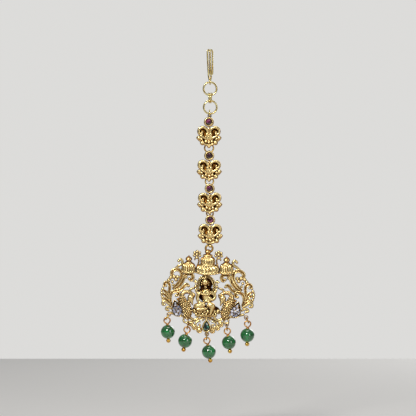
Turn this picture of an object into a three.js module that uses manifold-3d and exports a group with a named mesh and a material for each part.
// A maang tikka, hanging: a wire hook, plain rings, four cast chain units with a red stone
// each, and a pierced cast pendant with five green bead drops.
// Millimetres, +Z up, the front faces -Y. The origin is the inner top of the hook's bend.

import * as THREE from 'three';
import { mergeVertices } from 'three/addons/utils/BufferGeometryUtils.js';
import Module from 'manifold-3d';

const wasm = await Module();
wasm.setup();

// Driving dimensions, in millimetres and degrees.
const HOOK_WIRE = 0.36; // radius
const HOOK_PAIR = 0.58; // half the distance between the two wires of the doubled wire
const HOOK_BEND = 1.3; // radius of the bend over the top
const HOOK_BACK_LENGTH = 10.5;
const HOOK_EYE = 0.9;
const HOOK_EYE_WIRE = 0.3;
const HOOK_TURN = 25; // how far the hook is turned about the vertical

const RING_RADIUS = 2.8; // the two large rings, to the middle of the wire
const RING_WIRE = 0.4;
const RING_1 = { x: 0.04, z: -16.36 };
const RING_2 = { x: 0.12, z: -24.34 };
const COIL_RADIUS = 2.02; // the double-turn link between them
const COIL_WIRE = 0.3;
const TOP_LINK_RADIUS = 1.25;
const TOP_LINK_WIRE = 0.3;

const UNIT_PLACES = [ // middle of each round bezel
  { x: -0.47, z: -30.7 },
  { x: -0.34, z: -45.2 },
  { x: -0.13, z: -59.35 },
  { x: 0.09, z: -72.85 },
];
const BEZEL_RADIUS = 2.15;
const RUBY_RADIUS = 1.22;
const STONE_GAP = 0.12; // clearance round every stone
const UNIT_BACK = 0.65; // y of the units' flat backs
const LINK_WIRE = 0.33;
const STAPLE_WIRE = 0.25;
const STAPLE_RADIUS = 0.75;
const LINK_PLANE = 1.2; // y of the round links behind the castings
const LOWER_STAPLE = -9.3; // below the middle of a unit's bezel
const UPPER_STAPLE = 1.4; // above it

const PENDANT_RING = { x: -0.35, z: -85.1, radius: 1.5, wire: 0.45, plane: 1.45 };
const PENDANT_TILT = 1.6; // the right side hangs a little lower
const PENDANT_PIVOT = { x: -0.86, z: PENDANT_RING.z - PENDANT_RING.radius };
const PENDANT_BACK = 0.7; // y of the casting's flat back
const RELIEF = 0.6; // depth of the domes as a share of their width

const BEAD_RADIUS = 3.0;
const BEAD_HOLE = 0.55;
const PIN_WIRE = 0.3;
const LOOP_RADIUS = 1.25;
const LOOP_TO_BEAD = 4.9;
const DROP_LINK_RADIUS = 1.25;
const DROP_LINK_WIRE = 0.3;
const LUG_HOLE = 0.55;
const LUG_RIM = 0.4;
const LUG_THICKNESS = 0.8;
const LOOP_CLEARANCE = 0.25;
const DROPS = [ // lug: place of the lug's hole on the pendant, link and pin: lean in degrees
  { lug: [-16.1, -27.3], link: -30, pin: 3.8 },
  { lug: [-7.5, -30.9], link: -15, pin: -10 },
  { lug: [0.5, -35.3], link: -6, pin: 9.5 },
  { lug: [8.9, -31.0], link: 5, pin: 7.4 },
  { lug: [17.2, -27.75], link: 24, pin: -1.4 },
];

const SIDES = [-1, 1];
const radians = THREE.MathUtils.degToRad;

const GOLD = new THREE.MeshStandardMaterial({ color: 0xc9a24f, roughness: 0.32, metalness: 1 });
const PALE_GOLD = new THREE.MeshStandardMaterial({ color: 0xe3d694, roughness: 0.2, metalness: 1 });
const PIN_GOLD = new THREE.MeshStandardMaterial({ color: 0xd99a4c, roughness: 0.3, metalness: 1 });
const RUBY = new THREE.MeshStandardMaterial({ color: 0x5a1a48, roughness: 0.1, metalness: 0 });
const GREEN = new THREE.MeshStandardMaterial({ color: 0x1f7a4a, roughness: 0.15, metalness: 0 });
const DARK_GREEN = new THREE.MeshStandardMaterial({ color: 0x0d2a28, roughness: 0.1, metalness: 0 });
const WHITE_STONE = new THREE.MeshStandardMaterial({ color: 0xb8bcc8, roughness: 0.1, metalness: 0 });

// A closed geometry as a solid that can be joined and cut.
function solid(geometry) {
  const bare = geometry.clone();
  for (const name of Object.keys(bare.attributes)) {
    if (name !== 'position') bare.deleteAttribute(name);
  }
  const merged = mergeVertices(bare, 1e-4);
  const place = merged.attributes.position;
  const corner = (i) => new THREE.Vector3().fromBufferAttribute(place, i);
  const faces = [];
  let volume = 0;
  for (let i = 0; i < merged.index.count; i += 3) {
    const [a, b, c] = [0, 1, 2].map((k) => merged.index.getX(i + k));
    if (a === b || b === c || c === a) continue;
    faces.push([a, b, c]);
    volume += corner(a).dot(corner(b).cross(corner(c)));
  }
  const outward = volume > 0 ? faces : faces.map(([a, b, c]) => [a, c, b]);
  return new wasm.Manifold(new wasm.Mesh({
    numProp: 3,
    vertProperties: new Float32Array(place.array),
    triVerts: new Uint32Array(outward.flat()),
  }));
}

// Several solids soldered into one.
function fuse(solids) {
  return solids.reduce((whole, next) => whole.add(next));
}

// A solid as a named mesh.
function piece(name, form, material) {
  const cut = form.getMesh();
  const geometry = new THREE.BufferGeometry();
  geometry.setAttribute('position', new THREE.BufferAttribute(new Float32Array(cut.vertProperties), 3));
  geometry.setIndex(new THREE.BufferAttribute(new Uint32Array(cut.triVerts), 1));
  geometry.computeVertexNormals();
  const mesh = new THREE.Mesh(geometry, material);
  mesh.name = name;
  return mesh;
}

// A wire of round section along a curve.
function wireAlong(curve, radius, steps, sides = 5) {
  const section = new THREE.Shape(
    Array.from({ length: sides }, (_, i) => {
      const angle = (i + 0.5) * 2 * Math.PI / sides;
      return new THREE.Vector2(radius * Math.cos(angle), radius * Math.sin(angle));
    }),
  );
  return solid(new THREE.ExtrudeGeometry(section, { steps, extrudePath: curve, bevelEnabled: false }));
}

// A cast scroll through points across (x) and up (z): a strap with a flat front and back.
function scroll(points, halfWidth, front = -0.5, back = 0.45, stepsPerPoint = 0.8) {
  const middle = (front + back) / 2;
  const curve = new THREE.CatmullRomCurve3(points.map(([x, z]) => new THREE.Vector3(x, middle, z)));
  const halfDepth = (back - front) / 2;
  const section = new THREE.Shape([
    new THREE.Vector2(-halfDepth, -halfWidth), new THREE.Vector2(halfDepth, -halfWidth),
    new THREE.Vector2(halfDepth, halfWidth), new THREE.Vector2(-halfDepth, halfWidth),
  ]);
  const steps = Math.round(points.length * stepsPerPoint);
  return solid(new THREE.ExtrudeGeometry(section, { steps, extrudePath: curve, bevelEnabled: false }));
}

// A rounder arm or neck through points across and up, at one depth.
function rounded(points, radius, depth, stepsPerPoint = 1.4, sides = 6) {
  const curve = new THREE.CatmullRomCurve3(points.map(([x, z]) => new THREE.Vector3(x, depth, z)));
  return wireAlong(curve, radius, Math.round(points.length * stepsPerPoint), sides);
}

// A round bead, or one stretched along the axes.
function bead(x, y, z, radius, stretch = [1, 1, 1], across = 5, down = 3) {
  const ball = new THREE.SphereGeometry(radius, across, down);
  ball.rotateX(Math.PI / 2).scale(...stretch).translate(x, y, z);
  return solid(ball);
}

// A straight limb with round ends.
function limb(from, to, radius, sides = 5) {
  const start = new THREE.Vector3(...from);
  const along = new THREE.Vector3(...to).sub(start);
  const shape = new THREE.CapsuleGeometry(radius, along.length(), 1, sides);
  const upwards = new THREE.Vector3(0, 1, 0);
  const turn = new THREE.Quaternion().setFromUnitVectors(upwards, along.clone().normalize());
  shape.applyQuaternion(turn).translate(...start.addScaledVector(along, 0.5).toArray());
  return solid(shape);
}

// A round link. facing is the axis that its hole runs along.
function ring(x, y, z, radius, wire, facing, steps = 14, sides = 5) {
  const shape = new THREE.TorusGeometry(radius, wire, sides, steps);
  if (facing === 'y') shape.rotateX(Math.PI / 2);
  if (facing === 'x') shape.rotateY(Math.PI / 2);
  return solid(shape.translate(x, y, z));
}

// A turned form about the vertical. rows are [radius, height], from the top down.
function turned(rows, segments, flute = 0) {
  const shape = new THREE.LatheGeometry(rows.map(([r, z]) => new THREE.Vector2(r, z)).reverse(), segments);
  const place = shape.attributes.position;
  for (let i = 0; i < place.count; i++) {
    const column = Math.round(Math.atan2(place.getZ(i), place.getX(i)) / (2 * Math.PI) * segments);
    const share = column % 2 === 0 ? 1 : 1 - flute;
    place.setXYZ(i, place.getX(i) * share, place.getY(i), place.getZ(i) * share);
  }
  return shape.rotateX(Math.PI / 2);
}

// A flat form cut from sheet: the outline runs across and up, and back is its rear face.
function sheet(outline, back, thickness, curveSegments = 8) {
  const shape = new THREE.ExtrudeGeometry(outline, { depth: thickness, bevelEnabled: false, curveSegments });
  return shape.rotateX(Math.PI / 2).translate(0, back, 0);
}

// The outline of a pear or leaf: a round foot about (0, 0) and a tip above it.
function pearOutline(radius, tip) {
  const side = Math.asin(radius / tip);
  const start = new THREE.Vector2(radius * Math.cos(side), radius * Math.sin(side));
  const outline = new THREE.Shape();
  outline.moveTo(0, tip);
  outline.quadraticCurveTo(radius * 0.75, tip * 0.55, start.x, start.y);
  outline.absarc(0, 0, radius, side, Math.PI - side, true);
  outline.quadraticCurveTo(-radius * 0.75, tip * 0.55, 0, tip);
  return outline;
}

// A round cut stone with a table, its axis towards the front.
function cutStone(x, z, girdleFront, radius, height) {
  const profile = [
    [0, 0.6], [1, 0], [0.58, -0.42], [0, -0.42],
  ].map(([r, y]) => new THREE.Vector2(r * radius, y * height));
  const shape = new THREE.LatheGeometry(profile, 8);
  return solid(shape.translate(x, girdleFront, z));
}

// Hook

// One wire, doubled: up from the eye, over the bend, down the back, round the foot and back again.
function hook() {
  const eyeTop = RING_1.z + RING_RADIUS + HOOK_EYE;
  const bendMiddle = -HOOK_BEND + HOOK_WIRE;
  const footTop = -HOOK_BACK_LENGTH + 1.2;
  const halfWire = (side) => {
    const points = [
      [side * 0.2, 0, eyeTop - 0.25],
      [side * HOOK_PAIR, -0.15, eyeTop + 1.8],
      [side * HOOK_PAIR, -0.75, eyeTop + 5.5],
      [side * HOOK_PAIR, -HOOK_BEND, bendMiddle],
    ];
    for (let angle = 150; angle > 0; angle -= 30) {
      const across = HOOK_BEND * Math.cos(radians(angle));
      points.push([side * HOOK_PAIR, across, bendMiddle + HOOK_BEND * Math.sin(radians(angle))]);
    }
    points.push([side * HOOK_PAIR, HOOK_BEND, bendMiddle]);
    points.push([side * HOOK_PAIR, HOOK_BEND, (bendMiddle + footTop) / 2]);
    points.push([side * HOOK_PAIR, HOOK_BEND, footTop]);
    return points;
  };
  const foot = [225, 270, 315].map((angle) => [
    HOOK_PAIR * Math.cos(radians(angle)), HOOK_BEND, footTop + 1.6 * HOOK_PAIR * Math.sin(radians(angle)),
  ]);
  const route = [...halfWire(-1), ...foot, ...halfWire(1).reverse()];
  const curve = new THREE.CatmullRomCurve3(route.map((p) => new THREE.Vector3(...p)));
  const wire = wireAlong(curve, HOOK_WIRE, 32, 5).rotate([0, 0, -HOOK_TURN]);
  const eye = ring(RING_1.x, 0, RING_1.z + RING_RADIUS, HOOK_EYE, HOOK_EYE_WIRE, 'x', 10, 5);
  return piece('hook', wire.add(eye), PALE_GOLD);
}

// Plain rings

function plainRings() {
  const coilMiddle = (RING_1.z + RING_2.z) / 2;
  const turns = 2;
  const coilPoints = Array.from({ length: 21 }, (_, i) => {
    const angle = Math.PI / 2 + turns * 2 * Math.PI * i / 20;
    const x = RING_1.x + (i / 20 - 0.5) * turns * (2 * COIL_WIRE + 0.08);
    return new THREE.Vector3(x, COIL_RADIUS * Math.cos(angle), coilMiddle + COIL_RADIUS * Math.sin(angle));
  });
  const coil = wireAlong(new THREE.CatmullRomCurve3(coilPoints), COIL_WIRE, 20, 5);
  const topLinkX = (RING_2.x + UNIT_PLACES[0].x) / 2;
  const topLinkUp = RING_2.z - RING_RADIUS + 0.22;
  const topLink = ring(topLinkX, 0.35, topLinkUp, TOP_LINK_RADIUS, TOP_LINK_WIRE, 'x', 10, 5);
  return [
    piece('large_ring_1', ring(RING_1.x, 0, RING_1.z, RING_RADIUS, RING_WIRE, 'y', 16, 6), PALE_GOLD),
    piece('double_turn_link', coil, PALE_GOLD),
    piece('large_ring_2', ring(RING_2.x, 0, RING_2.z, RING_RADIUS, RING_WIRE, 'y', 16, 6), PALE_GOLD),
    piece('top_jump_ring', topLink, PALE_GOLD),
  ];
}

// Chain units

// A small U of wire soldered on the back, which a round link passes through.
function staple(x, z, back, plane, radius, wire) {
  const points = [[back - 0.25, radius], [plane - 0.2, radius]];
  for (let angle = 50; angle >= -50; angle -= 50) {
    points.push([plane + radius * Math.cos(radians(angle)), radius * Math.sin(radians(angle))]);
  }
  points.push([plane - 0.2, -radius], [back - 0.25, -radius]);
  const curve = new THREE.CatmullRomCurve3(points.map(([y, up]) => new THREE.Vector3(x, y, z + up)));
  return wireAlong(curve, wire, 6, 5);
}

// A round cup for a stone, open to the front, with a closed back.
function roundBezel(x, z) {
  const seat = RUBY_RADIUS + STONE_GAP;
  const profile = [
    [0, UNIT_BACK], [BEZEL_RADIUS, UNIT_BACK], [BEZEL_RADIUS, -0.45],
    [1.75, -0.9], [seat, -0.7], [seat, 0.35], [0, 0.35],
  ].map(([r, y]) => new THREE.Vector2(r, y));
  return solid(new THREE.LatheGeometry(profile, 12).translate(x, 0, z));
}

// Half of the unit's scrollwork, for one side; heights are below the middle of the bezel.
function unitSide(side) {
  const heart = [
    [0.2, -7.0], [0.7, -5.2], [1.05, -3.4], [2.5, -2.25], [4.15, -2.9],
    [4.45, -4.4], [3.6, -5.7], [2.5, -5.2],
  ];
  const across = (points) => points.map(([x, z]) => [side * x, z]);
  return [
    scroll(across(heart), 0.56, -0.6, UNIT_BACK - 0.1, 1),
    bead(side * 3.95, 0, -7.0, 1.25, [0.95, 0.6, 1.15]),
    bead(side * 2.65, 0, -9.05, 1.15, [1, 0.7, 1]),
    scroll(across([[0.6, -6.2], [1.8, -7.3], [2.5, -8.8]]), 0.9, -0.3, UNIT_BACK - 0.1, 0.5),
  ];
}

function chainUnit(index) {
  const isFirst = index === 0;
  const isLast = index === UNIT_PLACES.length - 1;
  const lowerPlane = isLast ? PENDANT_RING.plane : LINK_PLANE;
  const lowerRadius = isLast ? STAPLE_RADIUS + 0.1 : STAPLE_RADIUS;
  const lowerStaple = isLast ? PENDANT_RING.z + PENDANT_RING.radius - UNIT_PLACES[index].z : LOWER_STAPLE;
  const parts = [
    roundBezel(0, 0),
    scroll([[0, -1.9], [0, -6.4]], 1.0, -0.1, UNIT_BACK - 0.1, 0.5),
    ...SIDES.flatMap(unitSide),
    bead(0, -0.45, -6.9, 1.25, [1.0, 0.7, 1.75], 6, 4),
    bead(0, 0, isLast ? -10.4 : -9.8, 1.15, [0.8, 0.6, isLast ? 1.5 : 1.1]),
    scroll([[0, -7.5], [0, -9.5]], 0.5, -0.1, UNIT_BACK - 0.1, 0.5),
    staple(0, lowerStaple, 0.4, lowerPlane, lowerRadius, STAPLE_WIRE),
  ];
  if (isFirst) {
    const eye = new THREE.Shape();
    eye.absarc(0, 2.63, 0.8, 0, Math.PI, false);
    eye.lineTo(-0.8, 1.2);
    eye.lineTo(0.8, 1.2);
    const hole = new THREE.Path();
    hole.absarc(0, 2.63, 0.5, 0, 2 * Math.PI, true);
    eye.holes.push(hole);
    const eyeX = (RING_2.x + UNIT_PLACES[0].x) / 2 - UNIT_PLACES[0].x;
    parts.push(solid(sheet(eye, 1.1, 0.6, 6).translate(eyeX, 0, 0)));
  } else {
    parts.push(staple(0, UPPER_STAPLE, 0.5, LINK_PLANE, STAPLE_RADIUS, STAPLE_WIRE));
  }
  return piece(`chain_unit_${index + 1}`, fuse(parts), GOLD);
}

function chain() {
  const pieces = [];
  UNIT_PLACES.forEach((place, index) => {
    const unit = chainUnit(index);
    unit.position.set(place.x, 0, place.z);
    const ruby = piece(`ruby_${index + 1}`, cutStone(0, 0, -0.45, RUBY_RADIUS, 1.1), RUBY);
    ruby.position.copy(unit.position);
    pieces.push(unit, ruby);
    const next = UNIT_PLACES[index + 1];
    if (!next) return;
    const top = place.z + LOWER_STAPLE;
    const bottom = next.z + UPPER_STAPLE;
    const radius = (top - bottom) / 2;
    const link = ring((place.x + next.x) / 2, LINK_PLANE, (top + bottom) / 2, radius, LINK_WIRE, 'y', 12, 5);
    pieces.push(piece(`unit_link_${index + 1}`, link, GOLD));
  });
  const { x, z, radius, wire, plane } = PENDANT_RING;
  pieces.push(piece('pendant_ring', ring(x, plane, z, radius, wire, 'y', 12, 6), GOLD));
  return pieces;
}

// Pendant: each table below is one side of it, [across, up] from the pivot.

// Where a point of one side lies: the right side spreads a little beyond the stone fields.
function halfPlace(side, across) {
  return side * across + (side > 0 ? 0.11 * Math.max(across - 12, 0) : 0);
}

const SCROLLS = [
  { wire: 0.5, path: [[14.2, -7.8], [12.6, -6.4], [11.0, -5.4], [10.8, -4.3], [11.6, -3.6], [12.5, -4.1]] },
  { wire: 0.62, path: [[14.9, -16.3], [12.9, -14.3], [11.5, -12.3], [11.0, -9.9], [11.9, -8.3],
    [13.6, -7.9], [15.2, -8.9], [15.3, -10.3], [14.2, -11.0]] },
  { wire: 0.62, path: [[14.4, -16.9], [12.1, -15.1], [10.9, -13.4], [9.9, -11.2], [8.7, -10.0],
    [7.2, -10.0], [6.2, -11.2], [6.8, -12.6], [7.9, -12.2]] },
  { wire: 0.6, path: [[14.6, -17.3], [11.4, -16.6], [9.9, -15.1], [8.8, -14.1], [8.1, -14.8]] },
  { wire: 0.58, path: [[14.9, -23.2], [15.7, -20.5], [15.4, -18.5], [14.2, -17.3], [12.8, -17.3],
    [12.3, -18.4], [13.1, -19.1]] },
  { wire: 0.5, path: [[15.4, -21.6], [16.3, -18.5], [16.0, -15.6], [16.4, -14.0], [17.6, -13.4],
    [18.4, -14.4], [17.7, -15.2]] },
  { wire: 0.54, path: [[15.8, -20.6], [17.3, -18.0], [19.0, -16.6]] },
  { wire: 0.54, path: [[15.5, -21.7], [17.6, -19.2], [19.2, -18.4]] },
  { wire: 0.54, path: [[15.2, -22.8], [17.4, -20.9], [18.8, -20.3]] },
  { wire: 0.48, path: [[14.8, -23.8], [16.5, -22.6], [17.7, -21.7], [18.8, -22.1], [18.8, -23.1],
    [18.0, -23.3]] },
  { wire: 0.48, path: [[14.6, -25.2], [15.8, -24.3], [16.8, -24.2], [17.3, -25.0], [16.5, -25.6]] },
  { wire: 0.46, path: [[4.6, -15.4], [6.2, -15.9], [7.2, -16.5], [6.9, -17.6], [5.7, -18.6]] },
  { wire: 0.6, path: [[7.0, -25.6], [7.0, -27.8], [5.6, -29.2], [4.0, -28.8], [3.3, -27.2], [4.2, -26.0]] },
  { wire: 0.6, path: [[8.0, -28.7], [6.8, -28.9], [5.1, -29.9], [3.2, -29.3], [0.6, -28.4]] },
  { wire: 0.42, path: [[4.5, -1.8], [3.8, -3.2], [4.0, -4.8], [4.5, -6.6]] },
];

const BEADS = [ // at: across, up; y: depth of the middle
  { at: [14.3, -11.1], radius: 1.1, y: -0.1 },
  { at: [12.8, -11.1], radius: 1.1, y: -0.1 },
  { at: [13.4, -12.3], radius: 1.04, y: -0.1 },
  { at: [15.6, -11.6], radius: 0.94, y: 0 },
  { at: [16.5, -12.6], radius: 0.99, y: 0 },
  { at: [19.1, -16.5], radius: 0.83, y: 0 },
  { at: [19.4, -18.3], radius: 0.83, y: 0 },
  { at: [19.0, -20.2], radius: 0.83, y: 0 },
  { at: [6.2, -31.2], radius: 1.38, y: 0 },
  { at: [4.7, -32.5], radius: 1.43, y: 0 },
  { at: [2.6, -33.6], radius: 1.43, y: 0 },
];

const SIDE_DOME_ACROSS = 8.05;
const CENTRE_DOME = [
  [0, 0.8], [1.2, 0.3], [0.8, -0.8], [2.2, -1.3], [1.9, -2.2],
  [3.1, -3.4], [2.4, -4.9], [5.1, -6.8], [5.2, -8.8], [0, -10.3],
];
const SIDE_DOME = [
  [0, -1.7], [1.35, -3.2], [0.9, -4.6], [2.2, -5.0], [3.1, -7.0], [3.3, -9.4], [0, -9.8],
];

// The domes are modelled as if seen from a little above, so their fronts hang lower.
function domes() {
  const sag = new THREE.Matrix4().makeShear(0, 0, 0, 0.35, 0, 0);
  const centre = solid(turned(CENTRE_DOME, 12, 0.06).scale(1, RELIEF, 1).applyMatrix4(sag));
  const sides = SIDES.map((side) => {
    const form = turned(SIDE_DOME, 12, 0.08).scale(1, RELIEF + 0.1, 1).applyMatrix4(sag);
    return solid(form.translate(side * SIDE_DOME_ACROSS, 0, 0));
  });
  return [centre, ...sides];
}

// Five-petalled flowers that stand beside the upper dome.
function flower(side) {
  const [x, z] = [side * 4.65, -1.4];
  const fan = new THREE.Shape();
  [-10, 40, 90, 140, 190].forEach((angle) => {
    const [across, up] = [x + 1.35 * Math.cos(radians(angle)), z + 1.35 * Math.sin(radians(angle))];
    fan.absarc(across, up, 0.62, radians(angle - 85), radians(angle + 85), false);
  });
  return [solid(sheet(fan, 0.4, 0.85, 2)), bead(x, -0.1, z - 1.0, 0.8, [1.2, 0.8, 0.9])];
}

// The bird on one side: arched neck, head turned to the middle, and breast.
function bird(side) {
  const neck = [[5.5, -19.6], [6.0, -18.4], [7.6, -17.5], [9.4, -17.5], [10.7, -18.7], [10.9, -20.4]];
  const breast = [[10.6, -19.6], [10.1, -21.8], [8.9, -23.6], [8.0, -25.4], [8.0, -27.4]];
  const across = (points) => points.map(([x, z]) => [side * x, z]);
  return [
    rounded(across(neck), 0.8, -0.3, 1.1, 5),
    rounded(across(breast), 1.7, -0.35, 1.1, 6),
    bead(side * 6.9, -0.6, -19.3, 1.25, [1, 0.9, 1.05], 7, 4),
    bead(side * 7.6, -0.6, -21.9, 1.1, [0.9, 0.9, 1.5]),
  ];
}

// A leaf-shaped tray for a field of small stones; the stones' own plate lies in it.
const PAVE = { x: 12.35, z: -25.6, radius: 2.45, tip: 5.05, lean: 18.4 };

function pavePlace(geometry, side) {
  return geometry.rotateY(side * radians(PAVE.lean)).translate(side * PAVE.x, 0, PAVE.z);
}

function paveTray(side) {
  return solid(pavePlace(sheet(pearOutline(PAVE.radius, PAVE.tip), PENDANT_BACK, 1.5, 3), side));
}

function paveHollow(side) {
  const hollow = sheet(pearOutline(PAVE.radius - 0.4, PAVE.tip - 0.9), 0.2, 5, 3);
  return solid(pavePlace(hollow, side));
}

const PEAR = { x: 0.2, z: -32.55, radius: 1.35, tip: 2.7, rim: 0.6 };

function pearBezel() {
  const form = sheet(pearOutline(PEAR.radius + PEAR.rim, PEAR.tip + 1.1), PENDANT_BACK, 2.0, 3);
  return solid(form.translate(PEAR.x, 0, PEAR.z));
}

function pearHollow() {
  const form = sheet(pearOutline(PEAR.radius + STONE_GAP, PEAR.tip + 0.25), 0.2, 5, 3);
  return solid(form.translate(PEAR.x, 0, PEAR.z));
}

// The seated figure with four arms, on a lotus seat under an arch.
function figure() {
  const arch = [
    [-3.5, -16.8], [-3.8, -13.8], [-2.8, -11.3], [-0.3, -10.2], [2.2, -11.3], [3.3, -13.8], [3.1, -16.8],
  ];
  const crown = [[0, -8.9], [0.55, -9.8], [0.95, -10.5], [0.8, -11.0], [1.3, -11.6], [0, -12.3]];
  return [
    scroll(arch, 0.5, -0.5, 0.45, 1.3),
    solid(turned(crown, 6).translate(-0.6, -0.9, 0)),
    bead(-0.7, -1.0, -13.0, 1.2, [0.95, 0.95, 1.3], 7, 4),
    limb([-0.5, -0.7, -14.2], [0, -0.8, -20.8], 1.75, 6),
    limb([-1.2, -0.6, -16.6], [-3.6, -0.5, -17.2], 0.6),
    limb([-3.6, -0.5, -17.0], [-4.9, -0.5, -15.3], 0.55),
    limb([1.2, -0.6, -16.6], [3.7, -0.5, -17.3], 0.6),
    limb([3.7, -0.5, -17.1], [4.4, -0.5, -15.3], 0.55),
    rounded([[-1.4, -16.9], [-3.9, -19.0], [-3.7, -21.0], [-1.6, -21.9]], 0.8, -0.8, 1.1, 5),
    rounded([[1.4, -16.9], [3.7, -18.9], [2.9, -20.4], [1.0, -20.5]], 0.8, -0.9, 1.1, 5),
    limb([-0.4, -1.0, -22.4], [-4.6, -1.0, -22.9], 1.2, 5),
    limb([0.4, -1.0, -22.5], [2.2, -1.2, -22.9], 1.2, 5),
    limb([2.0, -1.2, -23.2], [1.8, -1.1, -26.4], 0.85),
    bead(0, -0.3, -25.0, 1.6, [2.9, 0.8, 1.1], 8, 3),
    bead(-0.1, -0.3, -27.1, 1.0, [4.3, 1.5, 0.95], 8, 3),
  ];
}

// Lotus buds above the raised hands.
function lotus(x, z) {
  const bud = [[0, 1.2], [1.1, 0.5], [0.6, -0.5], [0, -0.6]];
  return [
    solid(turned(bud, 6).scale(1, 0.8, 1).translate(x, -0.4, z)),
    limb([x, -0.3, z - 0.3], [x + 0.1 * Math.sign(-x), -0.4, -15.6], 0.32),
  ];
}

// The arm that carries the outer lug of one side.
function lugArm(side) {
  const end = side < 0 ? [-16.1, -26.5] : [17.1, -26.9];
  return scroll([[halfPlace(side, 13.6), -27.2], [halfPlace(side, 15.0), -26.7], end], 0.45);
}

// A flat ear for a drop's link, and the hole through it.
function lug([x, z]) {
  const outline = new THREE.Shape().absarc(x, z, LUG_HOLE + LUG_RIM, 0, 2 * Math.PI, false);
  return solid(sheet(outline, LUG_THICKNESS / 2, LUG_THICKNESS, 4));
}

function lugHole([x, z]) {
  const outline = new THREE.Shape().absarc(x, z, LUG_HOLE, 0, 2 * Math.PI, false);
  return solid(sheet(outline, 4, 8, 4));
}

function pendantCasting() {
  const relief = fuse([
    ...domes(),
    ...SIDES.flatMap((side) => [
      ...SCROLLS.map(({ wire, path }) => scroll(path.map(([x, z]) => [halfPlace(side, x), z]), wire)),
      ...BEADS.map(({ at, radius, y }) => bead(halfPlace(side, at[0]), y, at[1], radius, [1, 0.85, 1])),
      ...flower(side),
      ...bird(side),
      paveTray(side),
      ring(side * 8.7, 0, -29.6, 1.05, 0.45, 'y', 8, 4),
      bead(side * 2.95 + 0.2, 0, -31.5, 1.4, [1, 0.55, 1], 8, 4),
      lugArm(side),
    ]),
    pearBezel(),
    bead(0.1, -0.2, -28.4, 0.8, [0.9, 0.9, 1.6]),
    bead(0.4, 0, -34.6, 0.9, [0.9, 0.7, 1]),
    ...figure(),
    ...lotus(-5.0, -13.0),
    ...lotus(4.3, -13.1),
    ...DROPS.map((drop) => lug(drop.lug)),
  ]);
  const behind = new THREE.BoxGeometry(60, 10, 60).translate(0, PENDANT_BACK + 5, -15);
  const holes = DROPS.map((drop) => lugHole(drop.lug));
  const away = [solid(behind), paveHollow(-1), paveHollow(1), pearHollow(), ...holes];
  const trimmed = away.reduce((whole, next) => whole.subtract(next), relief);
  const { plane } = PENDANT_RING;
  const carrier = fuse([
    staple(0.3, 0, 0.35, plane, STAPLE_RADIUS + 0.1, STAPLE_WIRE),
    limb([0.3, 0.25, -1.4], [0.3, 0.25, 0.8], 0.4),
  ]);
  return piece('pendant_casting', trimmed.add(carrier), GOLD);
}

function pearStone() {
  const { radius, tip } = PEAR;
  const rows = [ // share of the outline's size, y
    { size: 0.5, y: -1.75 },
    { size: 1.0, y: -1.2 },
    { size: 1.0, y: -1.0 },
    { size: 0.4, y: -0.1 },
  ];
  const outline = pearOutline(radius, tip).getPoints(2).slice(0, -1);
  const ringOf = ({ size, y }) => outline.map((p) => new THREE.Vector3(p.x * size, y, p.y * size));
  const corners = rows.flatMap(ringOf);
  const count = outline.length;
  const faces = [];
  for (let row = 0; row + 1 < rows.length; row++) {
    for (let i = 0; i < count; i++) {
      const next = (i + 1) % count;
      const [a, b] = [row * count + i, row * count + next];
      faces.push([a, b, b + count], [a, b + count, a + count]);
    }
  }
  const last = (rows.length - 1) * count;
  for (let i = 1; i + 1 < count; i++) {
    faces.push([0, i + 1, i], [last, last + i, last + i + 1]);
  }
  const geometry = new THREE.BufferGeometry().setFromPoints(corners);
  geometry.setIndex(faces.flat());
  const stone = piece('pear_stone', solid(geometry), DARK_GREEN);
  stone.position.set(PEAR.x, 0, PEAR.z);
  return stone;
}

// A field of cut stones on a leaf-shaped plate, with one gold bead among them.
function paveField(side) {
  const outline = pearOutline(PAVE.radius - 0.4 - STONE_GAP, PAVE.tip - 0.9 - 0.25);
  const plate = sheet(outline, 0.2 - STONE_GAP, 0.6, 3);
  const stones = [ // across, up from the round foot's middle
    [0, 2.35], [-0.75, 1.25], [0.75, 1.25], [-1.15, 0.1], [1.15, 0.1], [-0.7, -1.05], [0.7, -1.05],
  ].map(([x, z]) => cutStone(x, z, -0.55, 0.58, 0.95));
  const field = fuse([solid(plate), ...stones, bead(0, -0.5, 0.15, 0.42)]);
  const name = side < 0 ? 'pave_left' : 'pave_right';
  const mesh = piece(name, field, WHITE_STONE);
  mesh.rotation.y = side * radians(PAVE.lean);
  mesh.position.set(side * PAVE.x, 0, PAVE.z);
  return mesh;
}

function pendant() {
  const group = new THREE.Group();
  group.add(pendantCasting(), pearStone(), paveField(-1), paveField(1));
  group.rotation.y = radians(PENDANT_TILT);
  group.position.set(PENDANT_PIVOT.x, 0, PENDANT_PIVOT.z);
  return group;
}

// Drops: a link through the lug, then an eye pin that carries the bead and ends in a ball.

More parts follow.
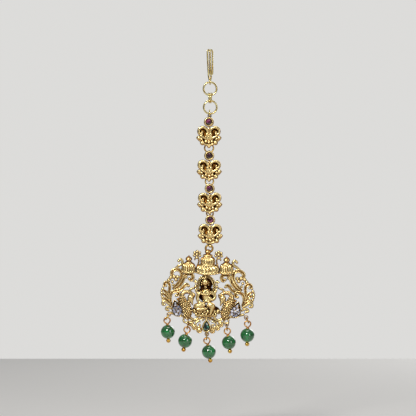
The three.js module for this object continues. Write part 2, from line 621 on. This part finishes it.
function greenBead() {
  const ball = solid(new THREE.SphereGeometry(BEAD_RADIUS, 12, 6).rotateX(Math.PI / 2));
  const drill = new THREE.CylinderGeometry(BEAD_HOLE, BEAD_HOLE, 3 * BEAD_RADIUS, 5).rotateX(Math.PI / 2);
  return ball.subtract(solid(drill)).translate([0, 0, -LOOP_TO_BEAD]);
}

function eyePin() {
  const ballUp = -LOOP_TO_BEAD - BEAD_RADIUS - 0.75;
  return fuse([
    ring(0, 0, 0, LOOP_RADIUS, PIN_WIRE, 'y', 10, 5),
    solid(new THREE.CylinderGeometry(PIN_WIRE, PIN_WIRE, ballUp + LOOP_RADIUS, 5, 1)
      .rotateX(Math.PI / 2).translate(0, 0, (ballUp - LOOP_RADIUS) / 2)),
    bead(0, 0, ballUp, 0.95, [1, 1, 1], 6, 3),
  ]);
}

function drop({ lug: [across, up], link, pin }, number) {
  const tilt = radians(PENDANT_TILT);
  const lugPlace = new THREE.Vector3(
    PENDANT_PIVOT.x + across * Math.cos(tilt) + up * Math.sin(tilt), 0,
    PENDANT_PIVOT.z - across * Math.sin(tilt) + up * Math.cos(tilt),
  );
  const [linkLean, pinLean] = [radians(link), radians(pin)];
  const down = (lean) => new THREE.Vector3(Math.sin(lean), 0, -Math.cos(lean));
  const linkPlace = lugPlace.clone().addScaledVector(down(linkLean), DROP_LINK_RADIUS);
  const seat = DROP_LINK_RADIUS - DROP_LINK_WIRE - PIN_WIRE - LOOP_CLEARANCE;
  const loopPlace = linkPlace.clone()
    .addScaledVector(down(linkLean), seat)
    .addScaledVector(down(pinLean), LOOP_RADIUS);

  const linkForm = ring(0, 0, 0, DROP_LINK_RADIUS, DROP_LINK_WIRE, 'x', 10, 5);
  const linkMesh = piece(`drop_link_${number}`, linkForm, GOLD);
  linkMesh.position.copy(linkPlace);
  linkMesh.rotation.y = -linkLean;

  const hanging = new THREE.Group();
  hanging.add(
    piece(`eye_pin_${number}`, eyePin(), PIN_GOLD),
    piece(`green_bead_${number}`, greenBead(), GREEN),
  );
  hanging.position.copy(loopPlace);
  hanging.rotation.y = -pinLean;
  return [linkMesh, hanging];
}

const group = new THREE.Group();
group.add(
  hook(),
  ...plainRings(),
  ...chain(),
  pendant(),
  ...DROPS.flatMap((row, index) => drop(row, index + 1)),
);

export default group;
